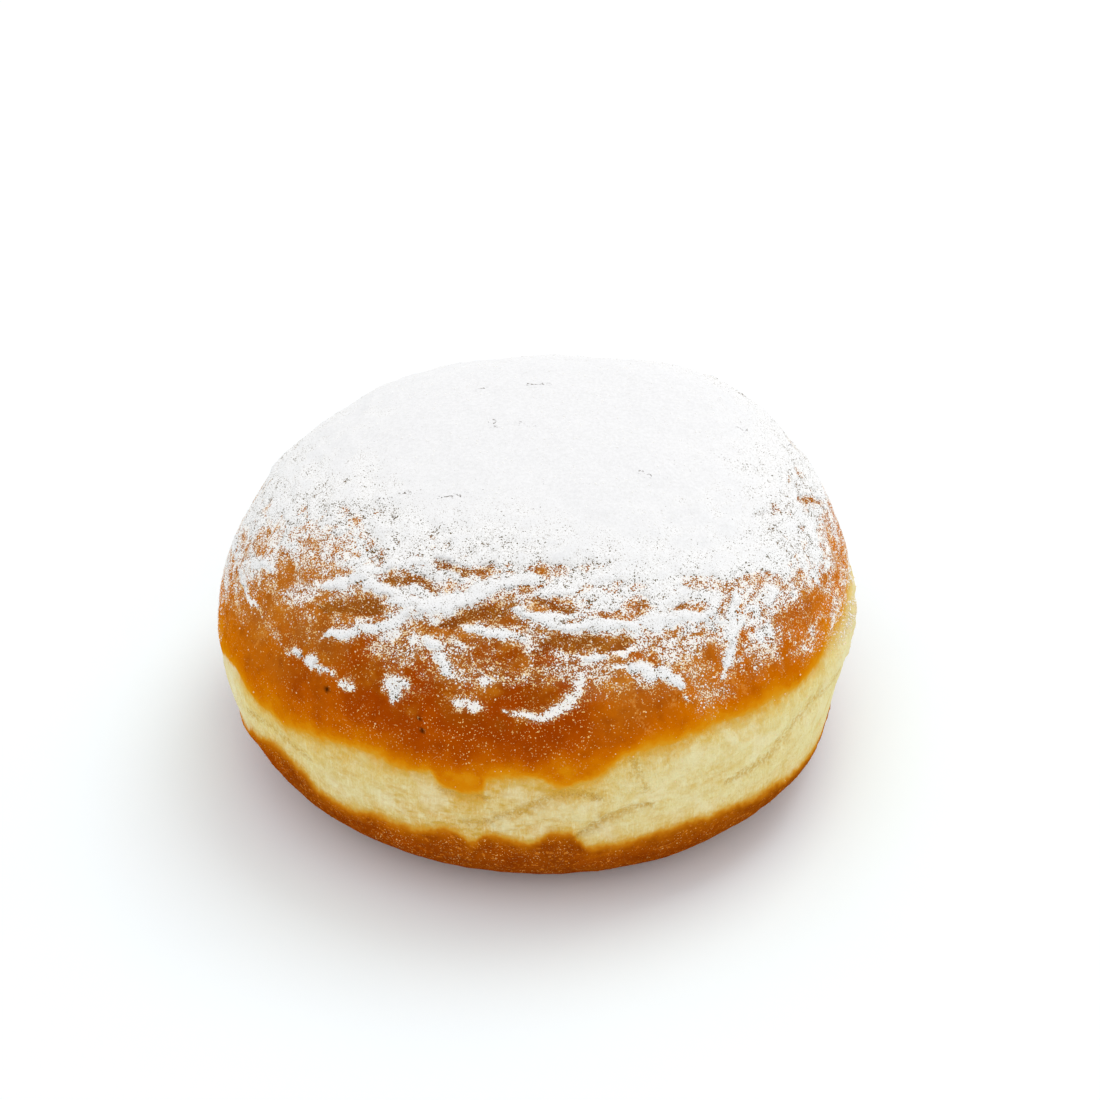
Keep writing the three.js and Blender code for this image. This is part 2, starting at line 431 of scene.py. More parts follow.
def aside_and_reach(places, normals, lines, reach):
    """The distance across the nearest line, and how much that line reaches each place."""
    aside = np.full(len(places), 3.0)
    reached = np.zeros(len(places))
    for line in lines:
        line = np.array(line)
        along = np.gradient(line, axis=0)
        inside = boxed_round(places, line, reach)
        if not len(inside):
            continue
        apart = places[inside, None, :] - line[None, :, :]
        distance = np.linalg.norm(apart, axis=2)
        nearest = distance.argmin(axis=1)
        offset = apart[np.arange(len(inside)), nearest]
        across = np.cross(normals[inside], along[nearest])
        across /= np.maximum(np.linalg.norm(across, axis=1), 1e-6)[:, None]
        share = ease(reach, 0.4 * reach, distance.min(axis=1))
        closer = share > reached[inside]
        aside[inside[closer]] = (offset * across).sum(axis=1)[closer]
        reached[inside[closer]] = share[closer]
    return aside, reached


def wandering(places, far=0.9, fine=0.35):
    """The places moved a little at random, so that a line measured from them wanders and frays."""
    moved = [
        [far * noise.noise(Vector(p / 3.1 + apart)) + fine * noise.noise(Vector(p / 0.95 + apart))
         for apart in (11.5, 47.3, 83.9)]
        for p in places
    ]
    return places + np.array(moved)


def line_on(piece, points, step=0.35):
    """A smooth line through places seen from above, dropped onto a piece."""
    found = []
    for x, y in points:
        hit, place, _, _ = piece.ray_cast(Vector((x, y, 100)) * MM, Vector((0, 0, -1)))
        if hit:
            found.append(tuple(np.array(place) / MM))
    return stepped(found, step)


# ---- the dough

def smooth_former():
    """A merged, rounded copy of the dough's solid, to press the dough against."""
    former = copy_of(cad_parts["dough"])
    former.parent = None
    former.name = "former"
    edit_all()
    bpy.ops.mesh.remove_doubles(threshold=WELD * MM)
    end_edit()
    apply_modifier(former, "SUBSURF", levels=1, render_levels=1)
    return former


def proved_dough():
    """A ball of dough, pressed to the doughnut's shape and made fine enough to work."""
    size = DOUGH_HIGH - DOUGH_LOW
    middle = (DOUGH_HIGH + DOUGH_LOW) / 2
    deselect()
    bpy.ops.mesh.primitive_cube_add(size=1, location=middle)
    dough = bpy.context.object
    dough.name = "fried_dough"
    edit_all()
    bpy.ops.mesh.subdivide(number_cuts=BALL_CUTS)
    bpy.ops.transform.tosphere(value=1)
    end_edit()
    width = 2 * max(v.co.x for v in dough.data.vertices)
    edit_all()
    bpy.ops.transform.resize(value=size / width, center_override=middle)
    end_edit()
    bpy.ops.object.transform_apply(location=True, rotation=True, scale=True)
    former = smooth_former()
    apply_modifier(dough, "SHRINKWRAP", target=former, wrap_method="NEAREST_SURFACEPOINT")
    apply_modifier(dough, "SMOOTH", factor=0.5, iterations=6)
    apply_modifier(dough, "SHRINKWRAP", target=former, wrap_method="NEAREST_SURFACEPOINT")
    apply_modifier(dough, "SUBSURF", levels=2, render_levels=2)
    bpy.data.objects.remove(former)
    only(dough)
    bpy.ops.object.shade_smooth()
    return dough


def ring_distances(places):
    """Millimetres above the ring's top edge and below its bottom edge, both ragged."""
    azimuth = azimuth_of(places)
    ragged = 0.6 * roughness_field(places, 4.0, 2, 11.0) + 0.15 * roughness_field(places, 1.4, 2, 5.0)
    edge = round_the_side(RING_TOP, azimuth)
    turned = [round_the_side(RING_TOP, azimuth + turn) for turn in (-12, -7, -3, 3, 7, 12)]
    gentle = np.mean(turned, axis=0)
    above = places[:, 2] - edge + ragged
    above += (edge - gentle) * ease(0.8, 3.0, above)
    ragged = 0.5 * roughness_field(places, 3.2, 2, 31.0) + 0.15 * roughness_field(places, 1.2, 2, 15.0)
    below = round_the_side(RING_BOTTOM, azimuth) - places[:, 2] + ragged
    return above, below


def unrolled_side(places):
    """The side rolled out flat: the length round it, height and nothing."""
    round_it = np.radians(azimuth_of(places)) * GIRTH_RADIUS
    return np.stack([round_it, places[:, 2], np.zeros(len(places))], axis=1)


def unrolled_line(stations):
    return stepped([(math.radians(a) * GIRTH_RADIUS, z, 0) for a, z in stations])


def mark_creases(dough, places):
    """Marks the fine line at the bottom of each crease of the ring, and the seams of the crust."""
    lines = [stations for depth, _, stations in RING_FOLDS if depth > 0] + SEAMS
    lines = [unrolled_line(stations) for stations in lines if stations[-1][0] <= 180]
    outwards = np.tile((0.0, 0.0, 1.0), (len(places), 1))
    aside, reached = aside_and_reach(unrolled_side(places), outwards, lines, CREASE_REACH)
    mark_points(dough, crease_aside=aside, crease_reach=reached)


def ring_folds(places):
    """How deep the creases of the pale ring are at each place. Ridges count below zero."""
    unrolled = unrolled_side(places)
    depth = np.zeros(len(places))
    for fold_depth, width, stations in RING_FOLDS:
        stations = [((a + 180) % 360 - 180, z) for a, z in stations]
        wraps = stations[-1][0] < stations[0][0]
        flat = unrolled.copy()
        if wraps:
            flat[:, 0] = np.where(flat[:, 0] < 0, flat[:, 0] + 2 * math.pi * GIRTH_RADIUS, flat[:, 0])
            stations = [(a + 360 if a < 0 else a, z) for a, z in stations]
        depth += fold_depth * nearness(flat, unrolled_line(stations), width * 1.6)
    return depth


def shape_side(dough):
    """The ring between the crusts: sunk a little, creased, and fibrous from top to bottom."""
    places = places_of(dough)
    above, below = ring_distances(places)
    in_ring = ease(0.9, -0.9, above) * ease(0.9, -0.9, below)
    folds = ring_folds(places) * (0.75 + 0.5 * roughness_field(places, 2.0, 2, 3.0))
    fibres = roughness_field(places, 0.9, 2, 7.0, stretch=(1, 1, 4.5))
    tears = ringwise_field(places, 9, 2.2, 3, 17.0)
    push = -in_ring * (RING_INSET + folds + 0.06 * fibres + 0.08 * tears)
    lip = np.exp(-((above - 1.2) / 1.3) ** 2)
    push += 0.12 * lip * (1 + roughness_field(places, 6, 2, 23.0))
    lower_lip = ease(-0.4, 0.5, below) * ease(3.5, 1.0, below)
    push += 0.28 * lower_lip * (1 + 0.8 * roughness_field(places, 5, 2, 33.0))
    azimuth, slope = azimuth_of(places), slope_of(places)
    behind_right = ease(65, 105, azimuth) * ease(165, 140, azimuth)
    push += SHOULDER * behind_right * ease(22, 48, slope) * ease(82, 66, slope)
    put_places(dough, places + normals_of(dough) * push[:, None])
    mark_creases(dough, places)
    scorched = np.zeros(len(places))
    for (at, height), radius in SCORCHED:
        round_to = np.radians(azimuth - at) * DOWN_RADIUS
        scorched += ease(radius, 0.4 * radius, np.hypot(round_to, places[:, 2] - height))
    patches = roughness_field(places, 6.0, 3, 140.0)
    mark_points(
        dough, above_ring=above, below_ring=below,
        browned=round_the_side(BROWNED, azimuth) + 0.22 * patches,
        toasted=round_the_side(TOASTED, azimuth) + 0.25 * patches,
        browned_below=round_the_side(BROWNED_BELOW, azimuth) + 0.25 * patches,
        fold=np.clip(folds * in_ring, -0.6, 0.8), scorched=scorched,
    )


def shape_crust(dough):
    """Broad unevenness of the fried crust, its wrinkles, and small blisters and pits."""
    places = places_of(dough)
    slope = slope_of(places)
    on_crust = ease(0.5, 3.0, read_attribute(dough, "above_ring"))
    under = ease(0.5, 3.0, read_attribute(dough, "below_ring"))
    broad = roughness_field(places, 13, 2, 2.0)
    wrinkled = ease(30, 48, slope) * ease(80, 68, slope)
    wrinkles = 1 - 2 * np.abs(ringwise_field(places, 11, 4.2, 2, 40.0))
    lumps = roughness_field(places, 3.4, 3, 50.0)
    blisters = np.clip(roughness_field(places, 1.5, 2, 60.0) - 0.25, 0, 1)
    push = (0.35 * on_crust + 0.25 * under) * broad
    push += on_crust * (0.22 * wrinkled * wrinkles + 0.1 * lumps + 0.1 * blisters)
    push += under * (0.1 * lumps + 0.1 * blisters)
    frayed = wandering(places)
    for _, width, rise, points in DRIFTS:
        push += rise * RIDGE_SHARE * nearness(frayed, line_on(dough, points), width * 2.0)
    for _, width, fall, points in HOLLOWS:
        push -= fall * nearness(frayed, line_on(dough, points), width * 1.6)
    places = places + normals_of(dough) * push[:, None]
    places[:, 2] = np.maximum(places[:, 2], 0)
    put_places(dough, places)


# ---- the icing sugar

def lay_powder(dough):
    """Marks how much sugar lies at each place, 0 on bare crust and 1 where it hides it, and the narrower
    hollows that get painted shade.
    """
    places = places_of(dough)
    azimuth, slope = azimuth_of(places), slope_of(places)
    solid = round_the_side(SOLID_EDGE, azimuth)
    bare = round_the_side(BARE_EDGE, azimuth)
    share = (slope - solid) / (bare - solid)
    base = np.interp(share, *zip(*POWDER_FALL))
    mottled = ease(-0.7, 0.05, share) * ease(1.15, 0.6, share)
    mottled *= 1 + 0.5 * ease(-60, -20, azimuth) * ease(60, 40, azimuth)
    patches = ringwise_field(places, 7, 2.0, 4, 70.0)
    specks = roughness_field(places, 1.5, 3, 80.0)
    amount = base + mottled * (0.36 * patches + 0.26 * specks)
    streaked = ease(38, 46, azimuth) * ease(80, 70, azimuth) * ease(64, 68, slope) * ease(77, 71, slope)
    amount += 0.55 * streaked * np.clip(ringwise_field(places, 1.3, 9, 2, 160.0), -0.2, 0.6)
    peppered = round_the_side(PEPPERED, azimuth) * ease(26, 46, slope)
    gaps = np.clip(roughness_field(places, 3.2, 3, 75.0) + 0.25, 0, 1)
    amount -= 0.42 * peppered * gaps * (amount > 0.7)
    ragged = 1 + 0.75 * roughness_field(places, 1.2, 4, 90.0)
    ragged += 0.35 * roughness_field(places, 4.5, 2, 95.0)
    frayed = wandering(places)
    for strength, width, _, points in DRIFTS:
        line = line_on(dough, points)
        core = nearness(frayed, line, width * CORE_SPREAD)
        skirt = nearness(frayed, line, width * SKIRT_SPREAD)
        drift = np.maximum(1.35 * core, 0.55 * skirt)
        amount = np.maximum(amount, strength * np.clip(drift * ragged, 0, 1.1))
    shaded = np.zeros(len(places))
    for strength, width, _, points in HOLLOWS:
        hollow = nearness(frayed, line_on(dough, points), width * 1.3)
        hollow = np.clip(1.3 * hollow * ragged, 0, 1)
        amount = amount * (1 - strength * hollow) + HOLLOW_DUST * strength * hollow
        # The narrower hollows are marked for painted shade
        shaded = np.maximum(shaded, hollow * (width < WIDEST_SHADED))
    mark_points(dough, shaded=shaded, powder=np.clip(amount, 0, MOST_POWDER))


def mark_cracks(dough):
    """Marks where the fine cracks in the sugar run, and the place of each point wrapped round the side."""
    places = places_of(dough)
    lines = [line_on(dough, points, 0.15) for points in CRACKS]
    aside, reached = aside_and_reach(places, normals_of(dough), lines, CRACK_REACH)
    mark_points(dough, crack_aside=aside, crack_reach=reached)
    write_vectors(dough, "wrapped", wrapped_places(places))


def sugar_rise(places, amount):
    """How far the top of the sugar stands off the crust. Below zero it is hidden in the crust."""
    depth = SUGAR_DEPTH + CROWN_SUGAR_DEPTH * ease(60, 25, slope_of(places))
    relief = 0.16 * roughness_field(places, 2.6, 3, 100.0) + 0.06 * roughness_field(places, 0.8, 1, 110.0)
    shown = ease(SUGAR_SHOWS, SUGAR_FULL, amount)
    return shown * (depth + relief) - SUGAR_DIP * ease(SUGAR_SHOWS + 0.1, SUGAR_SHOWS - 0.08, amount)


def part_at_corners():
    """In edit mode, clears the points where two patches of the coat meet only at a corner."""
    for _ in range(4):
        bpy.ops.mesh.select_all(action="DESELECT")
        bpy.ops.mesh.select_non_manifold(
            extend=False, use_wire=False, use_boundary=False, use_multi_face=False,
            use_non_contiguous=False, use_verts=True,
        )
        bpy.ops.mesh.delete(type="VERT")


def in_crumbs(piece, fewest):
    """Which points of a piece are in a separate patch that has fewer points than the fewest."""
    leader = list(range(len(piece.data.vertices)))

    def leader_of(point):
        while leader[point] != point:
            leader[point] = leader[leader[point]]
            point = leader[point]
        return point

    for edge in piece.data.edges:
        one, other = edge.vertices
        leader[leader_of(one)] = leader_of(other)
    patches = np.array([leader_of(point) for point in range(len(leader))])
    return np.bincount(patches)[patches] < fewest


def sugar_coat(dough):
    """The sugar thick enough to hide the crust, as a closed skin that dips into the crust at its edges."""
    coat = copy_of(dough)
    coat.name = "icing_sugar"
    places = places_of(coat)
    amount = read_attribute(coat, "powder")
    amount = amount + 0.1 * roughness_field(places, 1.1, 3, 130.0) * ease(1.1, 0.9, amount)
    rise = sugar_rise(places, amount)
    put_places(coat, places + normals_of(coat) * rise[:, None])
    delete_points(coat, amount < SUGAR_SHOWS - 0.12)
    bpy.ops.mesh.select_all(action="SELECT")
    bpy.ops.mesh.delete_loose()
    part_at_corners()
    end_edit()
    delete_points(coat, in_crumbs(coat, SMALLEST_CLUMP))
    end_edit()
    apply_modifier(coat, "SOLIDIFY", thickness=SUGAR_WALL * MM, offset=-1)
    return coat


def sugar_grain():
    """One grain: a small crystal with twenty faces."""
    deselect()
    bpy.ops.mesh.primitive_ico_sphere_add(subdivisions=1, radius=GRAIN_RADIUS * MM)
    grain = bpy.context.object
    grain.name = "grain"
    return grain


def set_inputs(node, values):
    for name, value in values.items():
        node.inputs[name].default_value = value


def scattering(grain, seed):
    """Geometry nodes that strew copies of the grain as densely as the 'grains' attribute says."""
    group = bpy.data.node_groups.new("strew_grains", "GeometryNodeTree")
    group.interface.new_socket("Geometry", in_out="INPUT", socket_type="NodeSocketGeometry")
    group.interface.new_socket("Geometry", in_out="OUTPUT", socket_type="NodeSocketGeometry")
    nodes, links = group.nodes, group.links
    came = nodes.new("NodeGroupInput")
    goes = nodes.new("NodeGroupOutput")
    density = nodes.new("GeometryNodeInputNamedAttribute")
    density.data_type = "FLOAT"
    set_inputs(density, {"Name": "grains"})
    strew = nodes.new("GeometryNodeDistributePointsOnFaces")
    set_inputs(strew, {"Seed": seed})
    source = nodes.new("GeometryNodeObjectInfo")
    set_inputs(source, {"Object": grain})
    turn = nodes.new("FunctionNodeRandomValue")
    turn.data_type = "FLOAT_VECTOR"
    set_inputs(turn, {1: (math.tau, math.tau, math.tau), "Seed": seed + 50})
    chance = nodes.new("FunctionNodeRandomValue")
    chance.data_type = "FLOAT"
    set_inputs(chance, {"Seed": seed + 90})
    rare = nodes.new("ShaderNodeMath")
    rare.operation = "POWER"
    set_inputs(rare, {1: 3.0})
    size = nodes.new("ShaderNodeMapRange")
    set_inputs(size, {"To Min": SMALLEST_GRAIN, "To Max": LARGEST_GRAIN})
    place = nodes.new("GeometryNodeInstanceOnPoints")
    real = nodes.new("GeometryNodeRealizeInstances")
    for output, socket in (
        (came.outputs[0], strew.inputs["Mesh"]),
        (density.outputs["Attribute"], strew.inputs["Density"]),
        (strew.outputs["Points"], place.inputs["Points"]),
        (source.outputs["Geometry"], place.inputs["Instance"]),
        (turn.outputs[0], place.inputs["Rotation"]),
        (chance.outputs[1], rare.inputs[0]),
        (rare.outputs[0], size.inputs["Value"]),
        (size.outputs[0], place.inputs["Scale"]),
        (place.outputs[0], real.inputs[0]),
        (real.outputs[0], goes.inputs[0]),
    ):
        links.new(output, socket)
    return group


def grains_per_square_mm(amount, slope):
    """Grains are thickest where the coat breaks up, and a few reach far down the side."""
    broken = ease(0.04, 0.35, amount) * ease(1.0, 0.6, amount)
    scattered = 0.12 * ease(88, 66, slope) + 0.02 * ease(110, 85, slope)
    return 6 * broken + 0.8 * ease(0.6, 0.9, amount) + scattered


def sugar_grains(dough, coat_material):
    """Loose grains over the crust and on the coat, in a few pieces of moderate size."""
    dusted = copy_of(dough)
    places = places_of(dusted)
    amount = read_attribute(dusted, "powder")
    rise = np.maximum(sugar_rise(places, amount), 0)
    put_places(dusted, places + normals_of(dusted) * rise[:, None])
    density = grains_per_square_mm(amount, slope_of(places)) / MM ** 2 / GRAIN_PIECES
    mark_points(dusted, grains=density)
    grain = sugar_grain()
    pieces = []
    for number in range(1, GRAIN_PIECES + 1):
        piece = copy_of(dusted)
        piece.name = f"sugar_grains_{number}"
        apply_modifier(piece, "NODES", node_group=scattering(grain, number))
        piece.data.materials.clear()
        piece.data.materials.append(coat_material)
        pieces.append(piece)
    bpy.data.objects.remove(grain)
    bpy.data.objects.remove(dusted)
    return pieces


# ---- finishes

# Crust colours by the distance above the ring, or below it: (distance, display colour)
GOLDEN_CRUST = [
    (-7.0, (230, 217, 156)), (-4.5, (228, 211, 144)), (-3.0, (228, 205, 130)), (-1.8, (226, 190, 98)),
    (-0.8, (222, 167, 56)), (0.0, (218, 149, 28)), (0.7, (216, 136, 10)), (1.5, (212, 125, 2)),
    (3.0, (206, 112, 0)), (6.0, (202, 112, 10)), (9.0, (197, 112, 20)), (16.0, (188, 108, 30)),
]
DARK_CRUST = [
    (-0.3, (218, 150, 32)), (0.7, (209, 124, 4)), (1.5, (201, 109, 0)), (3.0, (190, 92, 0)),
    (5.0, (174, 75, 0)), (8.0, (161, 64, 0)), (13.0, (160, 74, 4)), (19.0, (164, 86, 16)),
]
BOTTOM_CRUST = [
    (-7.0, (233, 222, 172)), (-3.0, (228, 205, 136)), (-1.2, (221, 182, 90)), (-0.4, (210, 150, 44)),
    (0.4, (196, 118, 16)), (1.1, (184, 100, 4)), (2.2, (176, 88, 2)), (5.0, (164, 74, 2)),
    (12.0, (150, 64, 2)),
]

# The colour of thin powder on the crust, and of the crust seen through the coat, darkened with painted
# shade where the coat is thicker, by the powder there
POWDER_FILM = [(0.0, (238, 180, 92)), (0.25, (240, 208, 158)), (0.6, (246, 243, 238))]
CRUST_AND_SHADE_UNDER_COAT = [
    (0.48, (146, 82, 20)), (0.65, (116, 82, 30)), (0.85, (100, 86, 50)), (1.1, (110, 104, 84)),
]


def tone(red, green, blue):
    """A display colour of 0 to 255 as the linear colour that shaders use."""
    linear = [
        (c / 255 / 12.92) if c / 255 <= 0.04045 else ((c / 255 + 0.055) / 1.055) ** 2.4
        for c in (red, green, blue)
    ]
    return (*linear, 1.0)


def toned(stops):
    return [(at, tone(*colour)) for at, colour in stops]


class Finish:
    """A material's nodes, added and joined one at a time."""

    def __init__(self, name, roughness):
        self.material = bpy.data.materials.new(name)
        self.material.use_nodes = True
        self.nodes = self.material.node_tree.nodes
        self.links = self.material.node_tree.links
        self.shader = self.nodes["Principled BSDF"]
        set_inputs(self.shader, {"Roughness": roughness})
        self.place = self.nodes.new("ShaderNodeTexCoord").outputs["Object"]
        self.colour = None

    def feed(self, socket, value):
        if isinstance(value, bpy.types.NodeSocket):
            self.links.new(value, socket)
        else:
            socket.default_value = value

    def attribute(self, name, output="Fac"):
        node = self.nodes.new("ShaderNodeAttribute")
        node.attribute_name = name
        return node.outputs[output]

    def dashes(self, length, width, detail=2.0):
        """Noise whose lumps are long round the doughnut and narrow down its side."""
        stretch = (length / MM, length / MM, width / MM)
        return self.grain(1.0, detail, stretch, self.attribute("wrapped", "Vector"))

    def grain(self, size, detail=2.0, stretch=(1, 1, 1), place=None):
        """Noise with lumps of a size in millimetres, longer along an axis by its stretch."""
        mapping = self.nodes.new("ShaderNodeMapping")
        set_inputs(mapping, {"Scale": [1 / (size * MM * s) for s in stretch]})
        node = self.nodes.new("ShaderNodeTexNoise")
        set_inputs(node, {"Scale": 1.0, "Detail": detail})
        self.links.new(place or self.place, mapping.inputs["Vector"])
        self.links.new(mapping.outputs[0], node.inputs["Vector"])
        return node.outputs["Fac"]

    def spots(self, size, detail, low, high, most=1.0):
        """Lumps of a size in millimetres: 0 up to the low level of the noise, most at the high one."""
        return self.spread(self.grain(size, detail), low, high, 0.0, most)

    def centred(self, value):
        return self.maths("SUBTRACT", value, 0.5)

    def maths(self, operation, a, b=0.0):
        node = self.nodes.new("ShaderNodeMath")
        node.operation = operation
        self.feed(node.inputs[0], a)
        self.feed(node.inputs[1], b)
        return node.outputs[0]

    def times(self, a, b):
        return self.maths("MULTIPLY", a, b)

    def plus(self, a, b):
        return self.maths("ADD", a, b)

    def spread(self, value, low, high, to_low=0.0, to_high=1.0):
        """Maps low to high onto to_low to to_high, clamped."""
        node = self.nodes.new("ShaderNodeMapRange")
        self.feed(node.inputs["Value"], value)
        set_inputs(node, {"From Min": low, "From Max": high, "To Min": to_low, "To Max": to_high})
        return node.outputs[0]

    def ramp(self, value, stops):
        """Colours along a value, as (value, colour) stops in rising order."""
        low, high = stops[0][0], stops[-1][0]
        node = self.nodes.new("ShaderNodeValToRGB")
        node.color_ramp.interpolation = "EASE"
        elements = node.color_ramp.elements
        elements[0].position, elements[0].color = 0.0, stops[0][1]
        elements[1].position, elements[1].color = 1.0, stops[-1][1]
        for at, colour in stops[1:-1]:
            element = elements.new((at - low) / (high - low))
            element.color = colour
        self.links.new(self.spread(value, low, high), node.inputs["Fac"])
        return node.outputs["Color"]

    def blend(self, share, a, b, kind="MIX"):
        node = self.nodes.new("ShaderNodeMix")
        node.data_type = "RGBA"
        node.blend_type = kind
        self.feed(node.inputs[0], share)
        self.feed(node.inputs[6], a)
        self.feed(node.inputs[7], b)
        return node.outputs[2]

    def lay(self, colour, *shares):
        """Lays a display colour over the colour so far, as thickly as the product of some shares."""
        share = shares[0]
        for other in shares[1:]:
            share = self.times(share, other)
        self.colour = self.blend(share, self.colour, tone(*colour))

    def bump(self, height, depth, strength=1.0, under=None):
        """A bump of that depth in millimetres."""
        node = self.nodes.new("ShaderNodeBump")
        set_inputs(node, {"Strength": strength, "Distance": depth * MM})
        self.feed(node.inputs["Height"], height)
        if under is not None:
            self.links.new(under, node.inputs["Normal"])
        return node.outputs["Normal"]

    def done(self, roughness, normal):
        self.links.new(self.colour, self.shader.inputs["Base Color"])
        self.links.new(roughness, self.shader.inputs["Roughness"])
        self.links.new(normal, self.shader.inputs["Normal"])
        return self.material


def sugar_stipple(f):
    """1 where powder grains hide what is under them and 0 between them, as the powder attribute says."""
    grains = f.times(f.centred(f.grain(0.21, 1.0)), 2.2)
    flecks = f.times(f.centred(f.dashes(0.7, 0.38)), 1.1)
    clumps = f.times(f.centred(f.dashes(2.2, 1.0)), 0.8)
    needed = f.plus(f.plus(grains, flecks), f.plus(clumps, 0.5))
    powder = f.attribute("powder")
    shown = f.spread(f.maths("SUBTRACT", powder, needed), -0.05, 0.05)
    return f.times(shown, f.spread(powder, 0.03, 0.08))


def fine_lines(f, name, width, gaps, strays):
    """1 along the marked lines of that name, straying and broken by gaps."""
    strays = f.spread(f.grain(0.6, 2.0), 0.3, 0.7, -strays * width, strays * width)
    aside = f.maths("ABSOLUTE", f.plus(f.attribute(name + "_aside"), strays))
    thin = f.spread(aside, width, 0.25 * width)
    broken = f.spread(f.grain(0.36, 1.0), gaps, gaps + 0.12)
    return f.times(f.times(thin, broken), f.attribute(name + "_reach"))


def crust_tones(f, above, below):
    """Golden and dark crust above the ring and brown crust below it, all paling into the ring."""
    browned = f.times(f.spread(above, -0.3, 1.5), f.spread(f.attribute("browned"), 0.0, 1.0))
    baked = f.blend(browned, f.ramp(above, toned(GOLDEN_CRUST)), f.ramp(above, toned(DARK_CRUST)))
    underneath = f.times(f.attribute("browned_below"), f.spread(below, -0.2, 1.2))
    brown = f.blend(f.times(underneath, 0.6), f.ramp(below, toned(BOTTOM_CRUST)), tone(140, 76, 8))
    f.colour = f.blend(1.0, baked, brown, "DARKEN")


def upper_crust_marks(f, above, on_crust):
    """Dark spots on the upper crust, and golden patches high up."""
    dark = f.spots(2.2, 4.0, 0.5, 0.72, 0.34)
    f.lay((130, 44, 0), dark, on_crust)
    glowing = f.spread(f.dashes(3.2, 2.2, 2.0), 0.52, 0.68, 0.0, 0.42)
    f.lay((216, 134, 28), glowing, f.spread(above, 8.0, 13.0))


def ring_marks(f, in_ring, inner, crumb):
    """The pale ring: toasted and pale stretches, crumb flecks of painted highlight, pits of painted shade,
    fibres, and patches of painted sheen and painted light.
    """
    toast = f.attribute("toasted")
    toasted = f.times(f.spread(toast, 0.0, 1.0), in_ring)
    f.lay((212, 158, 56), toasted, 0.66)
    f.lay((238, 230, 198), f.spread(toast, 0.0, -0.6), in_ring, 0.7)
    blotches = f.spots(2.6, 3.0, 0.42, 0.68, 0.45)
    f.lay((222, 208, 146), blotches, inner)
    # Pale crumb flecks, painted highlight on the crumb's tiny lumps
    f.lay((240, 231, 178), crumb, inner, 0.4)
    fibres = f.spread(f.grain(0.35, 3.0, stretch=(1, 1, 6)), 0.5, 0.7, 0.0, 0.45)
    f.lay((240, 232, 182), fibres, inner)
    # Golden pits, painted shade in the crumb's small hollows
    pits = f.spots(0.4, 2.0, 0.56, 0.72)
    f.lay((206, 172, 84), pits, in_ring, 0.4)
    toast_spots = f.spread(f.dashes(1.6, 0.7, 3.0), 0.5, 0.66, 0.0, 0.85)
    f.lay((206, 162, 58), toast_spots, toasted)
    # Patches of painted sheen on the ring
    painted_sheen = f.spread(f.dashes(1.5, 1.0, 3.0), 0.55, 0.75, 0.0, 0.5)
    more_toasted = f.spread(toast, -0.2, 0.9, 0.35, 1.0)
    f.lay((241, 234, 186), painted_sheen, more_toasted, inner)
    # Broad patches of painted light on the ring
    painted_light_patches = f.spots(4.5, 2.0, 0.52, 0.68, 0.4)
    f.lay((240, 232, 192), painted_light_patches, inner)
    gilded = f.spots(2.0, 4.0, 0.52, 0.7, 0.55)
    f.lay((216, 184, 96), gilded, in_ring)


def fold_marks(f, lines, in_ring, on_crust):
    """Painted shade in the creases and along their fine lines in the ring, paler seams on the crust, and
    painted highlight on the ridges.
    """
    torn = f.spread(f.grain(0.9, 3.0), 0.35, 0.65, -0.18, 0.18)
    fold = f.times(f.plus(f.attribute("fold"), torn), in_ring)
    broken = f.spread(f.grain(0.5, 2.0), 0.4, 0.58, 0.15, 1.0)
    # Painted shade in the creases of the ring, which are also sunk in the mesh
    creased = f.times(f.spread(fold, 0.16, 0.45), broken)
    f.lay((206, 164, 70), creased, 0.5)
    # Painted shade along the fine line at the bottom of each crease
    f.lay((204, 158, 58), lines, in_ring, 0.5)
    f.lay((240, 168, 78), lines, on_crust, 0.26)
    # Painted highlight on the ridges of the ring
    f.lay((236, 226, 176), f.spread(fold, -0.1, -0.45), 0.45)


def freckled(f, below, on_crust):
    """Small pale specks on both crusts, in crowds, and a few more where the crust is browner."""
    more = f.spread(f.attribute("browned"), 0.5, 1.1, 0.0, 0.03)
    freckles = f.spread(f.plus(f.grain(0.25, 1.0), more), 0.683, 0.722)
    crowded = f.spread(f.grain(4.0, 2.0), 0.42, 0.6, 0.35, 1.0)
    on_either = f.maths("MAXIMUM", on_crust, f.spread(below, 0.5, 2.0))
    f.lay((248, 204, 130), freckles, crowded, on_either)


def lower_crust_marks(f, under_crust):
    """Roasted blotches, lighter grit and deep fried patches below the ring."""
    roasted = f.spots(1.3, 4.0, 0.46, 0.66, 0.4)
    f.lay((120, 44, 0), roasted, under_crust)
    gritty = f.spots(0.6, 2.0, 0.6, 0.68, 0.6)
    f.lay((220, 132, 40), gritty, under_crust)
    deep_fried = f.spots(6.0, 2.0, 0.5, 0.62, 0.4)
    f.lay((122, 42, 0), deep_fried, under_crust)


def powdered_crust(f, on_crust):
    """Scorched crumbs, painted shade in the narrower hollows, and the crust as it looks between and under
    thin powder.
    """
    powder = f.attribute("powder")
    f.lay((58, 24, 4), f.attribute("scorched"))
    thinly = f.spread(f.grain(1.2, 3.0), 0.38, 0.62, 0.45, 1.0)
    f.lay((206, 160, 96), f.spread(powder, 0.06, 0.35, 0.0, 0.26), thinly)
    f.lay((116, 76, 20), f.spread(powder, 0.3, 0.62, 0.0, 0.46), thinly)
    # Painted shade in the narrower hollows of the wrinkles
    f.lay((92, 50, 6), f.attribute("shaded"), 0.36)
    overdone = f.spread(f.attribute("browned"), 1.05, 1.5, 0.0, 0.3)
    f.lay((118, 38, 0), overdone, on_crust)
    specks = f.spots(0.2, 1.0, 0.56, 0.66, 0.55)
    f.lay((106, 58, 14), specks, f.spread(powder, 0.15, 0.6))


